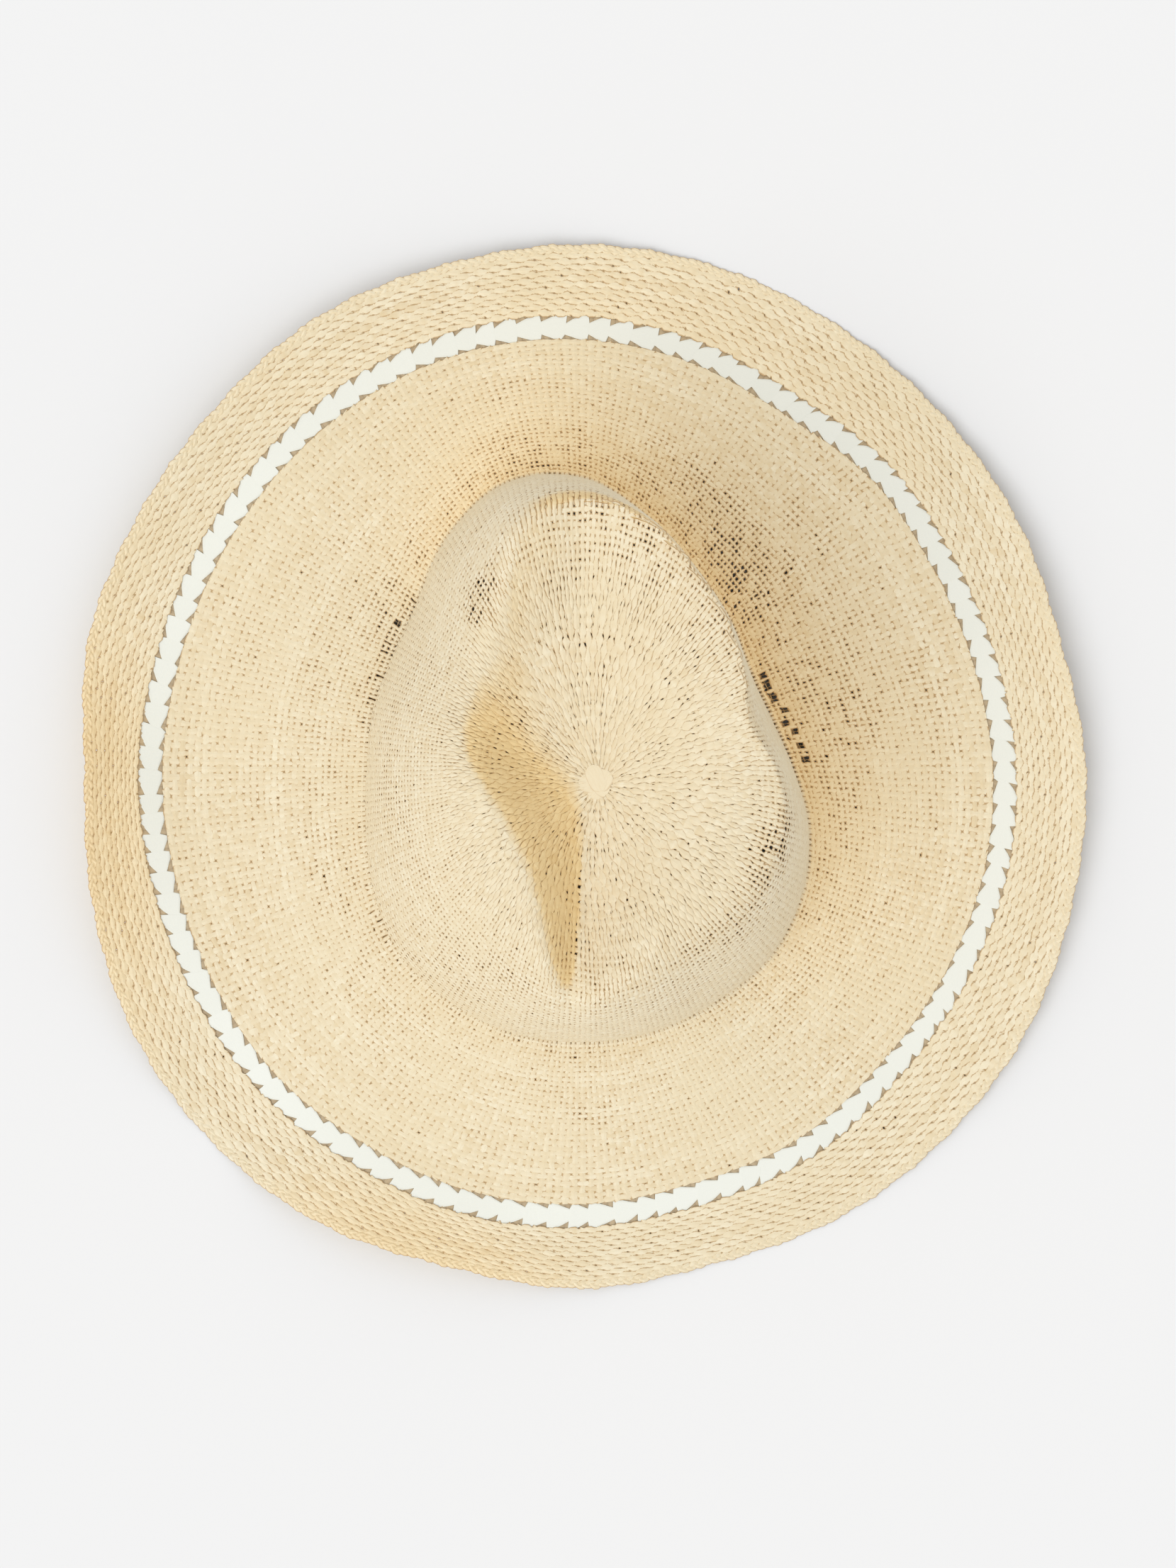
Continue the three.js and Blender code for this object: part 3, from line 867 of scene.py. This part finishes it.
def row_radii(azimuths, rows):
    """Radii of the crown's half rows on each meridian, from its foot to the tip. On the top and
    where the wall is steep the rows are further apart."""
    foot = section("crown_radius", azimuths)[:, None]
    samples = foot + (TIP_RADIUS - foot) * np.linspace(0, 1, MERIDIAN_STEPS + 1)
    x, y = plan_place(samples, azimuths[:, None])
    points = np.stack([x, y, STEEP_ROW_SHARE * hat_height(x, y)], axis=-1)
    strides = np.linalg.norm(np.diff(points, axis=1), axis=-1)
    lengths = np.concatenate([np.zeros((len(azimuths), 1)), np.cumsum(strides, axis=1)], axis=1)
    spacing = 1 + TOP_ROW_STRETCH * top_share(rows)[:-1]
    shares = np.concatenate([[0], np.cumsum(spacing)]) / spacing.sum()
    return np.stack([
        np.interp(shares * length[-1], length, radii) for length, radii in zip(lengths, samples)
    ])


def crown_weave():
    turns = half_columns_round(CROWN_WARPS)
    azimuths = turns + SPREAD_AT_FOOT * np.sin(2 * turns)
    radii = row_radii(azimuths, 2 * CROWN_WEFTS + 1)
    drops = sum((radii.mean(axis=0) < drop).astype(int) for drop in WARP_DROPS)
    # Between two wefts the warps are spaced as at the one before.
    drops[2::2] = drops[1::2]
    return Weave(azimuths[:, None], radii, 2 ** drops, 0)


def openness(weave, patches):
    """How open a weave is at each of its places, from a table of patches."""
    around = np.degrees(half_columns_round(weave.count // 2))[:, None]
    along = np.arange(weave.rows)[None, :] / weave.rows
    total = CHANCE_OPENNESS * chance_field(weave.count, weave.rows)
    for azimuth, share, azimuth_reach, share_reach, strength in patches:
        turned = (around - azimuth + 180) % 360 - 180
        distance = (turned / azimuth_reach) ** 2 + ((along - share) / share_reach) ** 2
        total = total + strength * np.exp(-distance)
    return np.clip(total, 0, WIDEST_OPENNESS)


def small_holes(weave, open_share):
    """How much narrower the strands are at each place of a weave, beside the small holes that
    lie between them."""
    sizes = TIGHT_HOLE + (OPEN_HOLE - TIGHT_HOLE) * open_share
    spots = sizes * chance.uniform(0, 1, (weave.count, weave.rows)) ** HOLE_POWER
    spots[0::2] = 0
    spots[:, 1::2] = 0
    spread = np.maximum(spots, np.maximum(np.roll(spots, 1, axis=0), np.roll(spots, -1, axis=0)))
    up = np.pad(spread, ((0, 0), (1, 0)))[:, :-1]
    down = np.pad(spread, ((0, 0), (0, 1)))[:, 1:]
    return np.maximum(spread, np.maximum(up, down))


def between_azimuths(azimuths, start, end):
    """1 between two azimuths in degrees and 0 outside them, eased at both."""
    begun = smooth_step(azimuths, start - BREAK_EASE, start + BREAK_EASE)
    ended = smooth_step(azimuths, end - BREAK_EASE, end + BREAK_EASE)
    return begun * (1 - ended)


def break_line_holes(weave, reach):
    """Narrowing of all the strands near the wide holes of the break line, in a weave's first
    half rows."""
    azimuths = np.degrees(half_columns_round(weave.count // 2))[:, None]
    inside = sum(between_azimuths(azimuths, row.start, row.end) for row in WIDE_HOLES)
    uneven = chance.uniform(BREAK_HOLE_LEAST, 1, (weave.count, 1))
    return BREAK_HOLE * inside * uneven * (np.arange(weave.rows) < reach)


def break_line_gaps(weave):
    """The wide holes near the break line, where a weft and up to two warps shrink and lie deep:
    1 at those places of the weave."""
    gaps = np.zeros((weave.count, weave.rows))
    for start, end, stride, nearest, fewest, wider in WIDE_HOLES:
        places = np.arange(start / 360 * weave.count, end / 360 * weave.count, stride)
        for place in places + GAP_SHIFT * stride * chance.uniform(-1, 1, len(places)):
            first = 2 * int(place / 2)
            warps = fewest + int(chance.uniform() < wider)
            row = 2 * (nearest + chance.integers(0, 2)) + 1
            along_warps = np.arange(first, first + 2 * warps - 1) % weave.count
            along_weft = np.arange(first - 1, first + 2 * warps) % weave.count
            gaps[along_warps, row - 1:row + 2] = 1
            gaps[along_weft, row] = 1
    return gaps


# Pieces

def add_crown(finish):
    weave = crown_weave()
    holes = small_holes(weave, openness(weave, CROWN_OPEN_PATCHES))
    weave.holes = holes + break_line_holes(weave, CROWN_BREAK_ROWS)
    weave.ragged = RAGGED_TOP * top_share(weave.rows)
    strand = crown_strand(WALL_WARP, TOP_WARP, weave.rows)
    for side, first in (("left_front", 0), ("right_back", CROWN_WARPS // 2)):
        warps = Bundle()
        indices = first + np.arange(CROWN_WARPS // 2)
        for grade in WARP_GRADES:
            chosen = indices[indices % (2 * grade) == grade]
            lay_warps(warps, weave, 2 * chosen, strand, 0, grade)
        longest = indices[indices % (2 * WARP_GRADES[-1]) == 0]
        lay_warps(warps, weave, 2 * longest, strand, 0)
        piece("crown_warps_" + side, warps, finish, CROWN_NODES)
    strand = crown_strand(WALL_WEFT, TOP_WEFT, weave.rows)
    half = CROWN_WEFTS // 2
    for zone, rows in (("side", range(half)), ("top", range(half, CROWN_WEFTS))):
        wefts = Bundle()
        for row in rows:
            lay_weft(wefts, weave, row, strand, 0)
        piece("crown_wefts_" + zone, wefts, finish, CROWN_NODES)


def add_tip_petals(finish):
    """The smooth patch over the tip, where the first strands are folded over each other."""
    petals = Bundle()
    order = np.arange(TIP_PETALS)[:, None]
    azimuths, share = np.broadcast_arrays(
        order * FULL_TURN / TIP_PETALS, np.linspace(0, 1, PETAL_STEPS)[None, :],
    )
    face = face_at(PETAL_START + PETAL_LENGTH * share, azimuths)
    lifts = PETAL_LIFT + PETAL_STACK * order - PETAL_DROOP * share ** 3
    bow = np.sqrt(1 - (PETAL_SQUARENESS * (2 * share - 1)) ** 4)
    centres = face.points + face.normals * lifts[..., None]
    petals.lay(
        centres, face.normals, PETAL_WIDTH / 2 * bow, FLAT_HALF_THICKNESS, PETAL_TONE, False,
        FLAT, PETAL_EDGE_SHADE,
    )
    piece("tip_petals", petals, finish, ("crown_top",))


def add_brim_weave(name, weave, finish, warp, warp_tone, weft, weft_tone, twist=0):
    """Lays all the warps and wefts of a band of the brim, as two pieces."""
    warps = Bundle()
    half_columns = np.arange(0, weave.count, 2)
    lay_warps(warps, weave, half_columns, brim_strand(warp, weave.rows), warp_tone)
    piece(name + "_warps", warps, finish, (name,))
    wefts = Bundle()
    for row in range(weave.rows // 2):
        lay_weft(wefts, weave, row, brim_strand(weft, weave.rows), weft_tone, twist)
    piece(name + "_wefts", wefts, finish, (name,))


def add_inner_brim(finish):
    turns = half_columns_round(INNER_BRIM_WARPS)[:, None]
    share = np.linspace(0, 1, 2 * INNER_BRIM_WEFTS + 1)[None, :]
    spread = SPREAD_AT_FOOT + (SPREAD_AT_TRIM - SPREAD_AT_FOOT) * share
    azimuths = turns + spread * np.sin(2 * turns)
    foot = section("crown_radius", azimuths)
    end = section("trim_radius", azimuths) - TRIM_TIP_REACH
    radii = foot + (end - foot) * share * (BRIM_ROW_START + (1 - BRIM_ROW_START) * share)
    weave = Weave(azimuths, radii, np.ones(share.size, int), 1)
    holes = small_holes(weave, openness(weave, BRIM_OPEN_PATCHES))
    weave.holes = holes + break_line_holes(weave, BRIM_BREAK_ROWS)
    weave.gaps = break_line_gaps(weave)
    add_brim_weave("inner_brim", weave, finish, BRIM_WARP, 0, BRIM_WEFT, 0)


def add_outer_brim(finish):
    turns = half_columns_round(OUTER_WARPS)[:, None]
    share = np.linspace(0, 1, 2 * OUTER_WEFTS + 1)[None, :]
    azimuths = turns + SPREAD_AT_TRIM * np.sin(2 * turns)
    start = section("trim_radius", azimuths) + TRIM_TIP_REACH
    end = section("edge_radius", azimuths) - OUTER_WEAVE_MARGIN * EDGE_PLAIT_WIDTH
    weave = Weave(azimuths, start + (end - start) * share, np.ones(share.size, int), 0)
    weave.holes = small_holes(weave, 0)
    add_brim_weave(
        "outer_brim", weave, finish,
        OUTER_WARP, OUTER_WARP_TONE, OUTER_WEFT, OUTER_WEFT_TONE, OUTER_TWIST,
    )


def add_warps_under_trim(finish):
    """The warps of the brim where they pass under the white trim and show in its notches."""
    warps = Bundle()
    azimuths, past_trim = np.broadcast_arrays(
        half_columns_round(OUTER_WARPS)[::2, None],
        np.linspace(-BACKING_REACH, BACKING_REACH, BACKING_STEPS)[None, :],
    )
    radii = section("trim_radius", azimuths) + past_trim
    face = face_at(radii, azimuths)
    half_widths = BACKING_HALF_WIDTH * (radii * FULL_TURN / OUTER_WARPS)
    tones = chance.normal(BACKING_TONE, BACKING_TONE_CHANCE, (OUTER_WARPS, 1))
    centres = face.points + face.normals * BACKING_LIFT
    warps.lay(centres, face.normals, half_widths, HALF_STRAND, tones, False)
    piece("warps_under_trim", warps, finish, ("inner_brim",))


def add_edge_plait(finish):
    """Strands plaited flat along the brim's edge."""
    plait = Bundle()
    steps = EDGE_PLAIT_TURNS * EDGE_PLAIT_STEPS
    shape = (EDGE_PLAIT_STRANDS, steps)
    order = np.arange(EDGE_PLAIT_STRANDS)[:, None]
    azimuths = np.broadcast_to(np.arange(steps) / steps * FULL_TURN, shape)
    phase = EDGE_PLAIT_TURNS * azimuths + order * FULL_TURN / EDGE_PLAIT_STRANDS
    swing = (EDGE_PLAIT_WIDTH - EDGE_STRAND_WIDTH) / 2
    middle = section("edge_radius", azimuths) - EDGE_PLAIT_WIDTH / 2
    middle = middle + EDGE_UNEVEN * waves((1, steps), EDGE_UNEVEN_TURNS, True)
    face = face_at(middle + swing * np.sin(phase), azimuths)
    lifts = MID_LIFT + EDGE_PLAIT_RISE * np.sin(2 * phase)
    centres = face.points + face.normals * lifts[..., None]
    uneven = 1 + EDGE_WIDTH_WAVES * waves(shape, EDGE_WIDTH_TURNS, True)
    tones = EDGE_TONE + EDGE_TONE_WAVES * waves(shape, EDGE_TONE_TURNS, True)
    tones = tones + EDGE_TONE_CHANCE * chance.normal(0, 1, shape)
    half_widths = EDGE_STRAND_WIDTH / 2 * uneven
    plait.lay(centres, face.normals, half_widths, EDGE_HALF_STRAND, tones, True)
    piece("edge_plait", plait, finish, ("outer_brim",))


def add_trim(finish):
    """A closed band of folded flat white straw. Each unit widens from a notch to its tips, which
    go under the cloth on both sides, and drops steeply to the next notch."""
    trim = Bundle()
    unit_rows = np.array(TRIM_UNIT_ROWS)
    shares = unit_rows[None, :, 0]
    reach = unit_rows[None, :, 1]
    lifts = np.tile(unit_rows[:, 2], TRIM_UNITS)
    uneven = chance.normal(0, 1, TRIM_UNITS).clip(-TRIM_SPACING_LIMIT, TRIM_SPACING_LIMIT)
    lengths = 1 + TRIM_UNEVEN_SPACING * uneven
    starts = (np.concatenate([[0], np.cumsum(lengths)[:-1]]) / lengths.sum())[:, None]
    azimuths = -FULL_TURN * (starts + shares * lengths[:, None] / lengths.sum()).ravel()
    sides = []
    for notch in (TRIM_NOTCH_REACH_OUT, TRIM_NOTCH_REACH_IN):
        shallower = TRIM_UNEVEN_NOTCH * chance.uniform(*TRIM_NOTCH_CHANCE, (TRIM_UNITS, 1))
        depth = (TRIM_TIP_REACH - notch) * (1 - shallower)
        sides.append((TRIM_TIP_REACH - depth * (1 - reach) + TRIM_TUCK * reach).ravel())
    outward, inward = sides
    radii = section("trim_radius", azimuths) + (outward - inward) / 2
    face = face_at(radii[None, :], azimuths[None, :])
    centres = face.points + face.normals * lifts[None, :, None]
    tones = np.repeat(chance.normal(0, TRIM_TONE_CHANCE, TRIM_UNITS), len(TRIM_UNIT_ROWS))
    half_widths = ((outward + inward) / 2)[None, :]
    trim.lay(
        centres, face.normals, half_widths, FLAT_HALF_THICKNESS, tones[None, :], True, FLAT,
    )
    piece("zigzag_band", trim, finish, ("zigzag_trim",))


# Materials

def node(tree, kind, **values):
    made = tree.nodes.new(kind)
    for name, value in values.items():
        setattr(made, name, value)
    return made


def set_inputs(made, values):
    for name, value in values.items():
        made.inputs[name].default_value = value


def attribute(tree, name, output="Fac"):
    return node(tree, "ShaderNodeAttribute", attribute_name=name).outputs[output]


def mixed_colour(tree, share, first, second, blend="MIX"):
    """A colour between two, each a socket or a fixed colour."""
    mix = node(tree, "ShaderNodeMix", data_type="RGBA", blend_type=blend)
    tree.links.new(share, mix.inputs["Factor"])
    for place, colour in zip(MIX_INPUTS, (first, second)):
        if isinstance(colour, tuple):
            mix.inputs[place].default_value = (*colour, 1)
        else:
            tree.links.new(colour, mix.inputs[place])
    return mix.outputs[MIX_OUTPUT]


def ranged(tree, value, span, to=(0, 1)):
    """A value's place in a span, brought to another span and held at its ends."""
    made = node(tree, "ShaderNodeMapRange")
    tree.links.new(value, made.inputs["Value"])
    names = ("From Min", "From Max", "To Min", "To Max")
    set_inputs(made, dict(zip(names, (*span, *to))))
    return made.outputs["Result"]


def noise(tree, vector, scale):
    made = node(tree, "ShaderNodeTexNoise")
    tree.links.new(vector, made.inputs["Vector"])
    set_inputs(made, {"Scale": scale, "Detail": NOISE_DETAIL})
    return made.outputs["Fac"]


def straw_colour(tree, look, streaks):
    """Tone by strand, broad warm patches, fibre streaks along each strand, painted shade along a
    strand's edges, and painted warm shade in the crown's dents and painted warm light in its lee."""
    place = node(tree, "ShaderNodeTexCoord")
    broad = noise(tree, place.outputs["Object"], BROAD_PATCH_SCALE)
    outward = node(tree, "ShaderNodeMath", operation="ABSOLUTE")
    tree.links.new(attribute(tree, "strand_side"), outward.inputs[0])
    tone = ranged(tree, attribute(tree, "strand_tone"), TONE_SPAN)
    colour = mixed_colour(tree, tone, look.deep, look.pale)
    in_patch = ranged(tree, broad, PATCH_SPAN, (0, PATCH_TINT))
    colour = mixed_colour(tree, in_patch, colour, look.warm)
    on_fibre = ranged(tree, streaks, FIBRE_SPAN, (0, FIBRE_TINT))
    colour = mixed_colour(tree, on_fibre, colour, look.deep)
    # Painted shade along each strand's edges
    edge_shade = ranged(tree, outward.outputs[0], EDGE_PAINTED_SHADE_SPAN, (0, EDGE_PAINTED_SHADE))
    colour = mixed_colour(tree, edge_shade, colour, look.edge)
    # Painted warm shade on dent slopes and painted warm light in the lee, multiplied into the
    # colour
    painted_tint = attribute(tree, "painted_light_and_shade")
    for painted_colour, full in ((DENT_PAINTED_SHADE, 1), (LEE_PAINTED_LIGHT, -1)):
        colour = mixed_colour(tree, ranged(tree, painted_tint, (0, full)), colour, painted_colour, "MULTIPLY")
    return colour


def straw_finish(look):
    finish = bpy.data.materials.new(look.name)
    finish.use_nodes = True
    tree = finish.node_tree
    shader = tree.nodes["Principled BSDF"]
    stretched = node(tree, "ShaderNodeMapping", vector_type="TEXTURE")
    tree.links.new(attribute(tree, "straw_grain", "Vector"), stretched.inputs["Vector"])
    set_inputs(stretched, {"Scale": STREAK_SIZE})
    streaks = noise(tree, stretched.outputs["Vector"], STREAK_SCALE)
    tree.links.new(straw_colour(tree, look, streaks), shader.inputs["Base Color"])
    spread = (look.roughness - ROUGHNESS_SPREAD, look.roughness + ROUGHNESS_SPREAD)
    roughness = ranged(tree, streaks, ROUGHNESS_SPAN, spread)
    tree.links.new(roughness, shader.inputs["Roughness"])
    set_inputs(shader, {"Sheen Weight": look.sheen, "Specular IOR Level": STRAW_SPECULAR})
    bump = node(tree, "ShaderNodeBump")
    set_inputs(bump, {"Strength": BUMP_STRENGTH, "Distance": BUMP_DEPTH * MM})
    tree.links.new(streaks, bump.inputs["Height"])
    tree.links.new(bump.outputs["Normal"], shader.inputs["Normal"])
    return finish


def floor_finish():
    finish = bpy.data.materials.new("pale_floor")
    finish.use_nodes = True
    set_inputs(finish.node_tree.nodes["Principled BSDF"], {
        "Base Color": (FLOOR_ALBEDO, FLOOR_ALBEDO, FLOOR_ALBEDO, 1),
        "Roughness": FLOOR_ROUGHNESS,
        "Specular IOR Level": FLOOR_SPECULAR,
    })
    return finish


# Floor, light and camera

def add_floor():
    mesh = bpy.data.meshes.new("floor")
    reach = FLOOR_SIZE / 2
    square = ((-1, -1), (1, -1), (1, 1), (-1, 1))
    corners = [(x * reach, y * reach, -FLOOR_GAP) for x, y in square]
    mesh.from_pydata(corners, [], [(0, 1, 2, 3)])
    floor = placed("floor", mesh)
    mesh.materials.append(floor_finish())


def add_light():
    world = bpy.data.worlds.new("studio")
    bpy.context.scene.world = world
    world.use_nodes = True
    background = world.node_tree.nodes["Background"]
    set_inputs(background, {"Color": (1, 1, 1, 1), "Strength": FILL_STRENGTH})
    lamp = bpy.data.lights.new("soft_key", "SUN")
    lamp.energy = KEY_STRENGTH
    lamp.angle = math.radians(KEY_SPREAD)
    key = placed("soft_key", lamp)
    key.rotation_euler = (0, math.radians(90 - KEY_ELEVATION), math.radians(KEY_AZIMUTH))


def add_camera():
    lens = bpy.data.cameras.new("camera")
    lens.sensor_width = CAMERA_SENSOR
    lens.lens = CAMERA_LENS
    camera = placed("camera", lens)
    camera.location = CAMERA_PLACE
    camera.rotation_euler = (0, 0, math.pi)
    bpy.context.scene.camera = camera


straw = straw_finish(STRAW)
shaded_straw = straw_finish(SHADED_STRAW)
white_straw = straw_finish(WHITE_STRAW)

add_crown(straw)
add_tip_petals(straw)
add_inner_brim(straw)
add_outer_brim(straw)
add_warps_under_trim(shaded_straw)
add_edge_plait(straw)
add_trim(white_straw)
add_floor()
add_light()
add_camera()
bpy.context.scene.view_settings.view_transform = "Standard"
